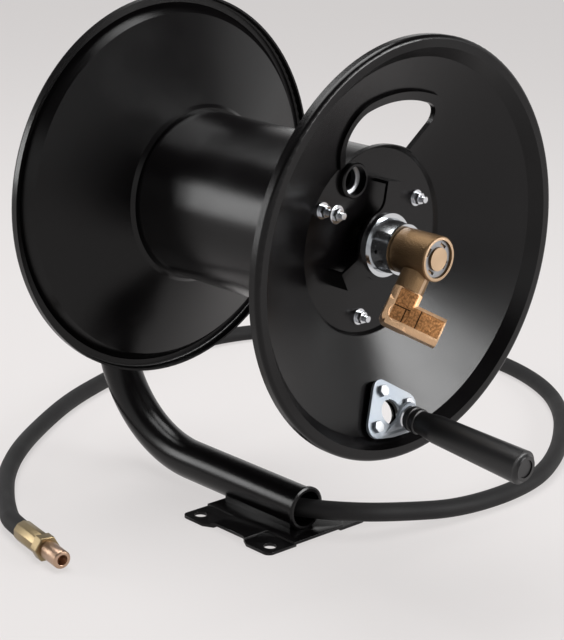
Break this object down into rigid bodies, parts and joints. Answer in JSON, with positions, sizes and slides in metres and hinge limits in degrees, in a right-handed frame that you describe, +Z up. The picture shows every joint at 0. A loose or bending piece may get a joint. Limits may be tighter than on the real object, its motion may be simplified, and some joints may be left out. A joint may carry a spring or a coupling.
{
  "type": "hose reel",
  "caption": "Steel hose reel: dished flanges on a drum, brass swivel inlet and crank, turning on a spindle held by one bent tube on a bolted base plate, with a lead hose.",
  "frame": {"origin": "underside of the base plate, at the centre of its four holes", "axes": "+Z up, +Y from the crank side to the arm, +X to the right as seen from the crank side"},
  "size_m": [0.8049, 0.7609, 0.494],
  "materials": {
    "black_paint": "gloss powder coat",
    "zinc": "bright zinc plate",
    "brass": "cast and machined",
    "gold_zinc": "yellow zinc plate",
    "pink_zinc": "pale zinc plate",
    "steel": "turned",
    "bronze": "sintered",
    "hose_rubber": "matt, faint wrap lines",
    "grip_plastic": "satin"
  },
  "bodies": {
    "frame": {"base_plate": "black_paint", "arm_tube": "black_paint", "arm_weld_beads": "black_paint", "tube_mouth_ring": "black_paint", "arm_cap": "black_paint", "spindle_boss": "black_paint", "spindle": "steel", "spindle_nut": "zinc", "spindle_washer": "zinc", "spindle_retaining_ring": "steel", "thrust_washer": "bronze", "lead_hose": "hose_rubber", "hose_ferrule": "gold_zinc", "hose_nut": "gold_zinc", "hose_nipple": "pink_zinc", "hose_inner_end": "gold_zinc"},
    "spool": {"bearing_cup": "zinc", "bracket_bolts": "zinc", "bracket_nuts": "zinc", "bracket_spacer": "black_paint", "crank_bracket": "zinc", "drum": "black_paint", "front_bearing": "bronze", "front_flange": "black_paint", "handle_stud": "steel", "handle_washer": "zinc", "hub_spider": "black_paint", "inner_bulkhead": "black_paint", "manifold_pipe": "steel", "outlet_collar": "black_paint", "outlet_port": "black_paint", "outlet_seat": "black_paint", "outlet_ring": "zinc", "slot_lip": "black_paint", "rear_bearing": "bronze", "rear_flange": "black_paint", "rear_hub_bolts": "zinc", "rear_hub_plate": "black_paint", "rod_flange_nut": "zinc", "rod_nuts": "zinc", "rod_washers": "zinc", "swivel_stem": "brass", "tie_rods": "zinc"},
    "swivel": {"swivel_body": "brass", "swivel_snap_ring": "zinc", "swivel_elbow": "brass"},
    "grip": {"handle_grip": "grip_plastic", "grip_plug": "grip_plastic"}
  },
  "joints": [
    {"name": "spool_spin", "type": "hinge", "parent": "frame", "child": "spool", "pos_m": [0, 0.006, 0.304], "axis": [0, 1, 0], "continuous": true},
    {"name": "swivel_turn", "type": "hinge", "parent": "spool", "child": "swivel", "pos_m": [0, -0.172, 0.304], "axis": [0, 1, 0], "continuous": true},
    {"name": "grip_spin", "type": "hinge", "parent": "spool", "child": "grip", "pos_m": [0.008, -0.15704, 0.14958], "axis": [0, -0.9978, -0.0663], "continuous": true}
  ]
}
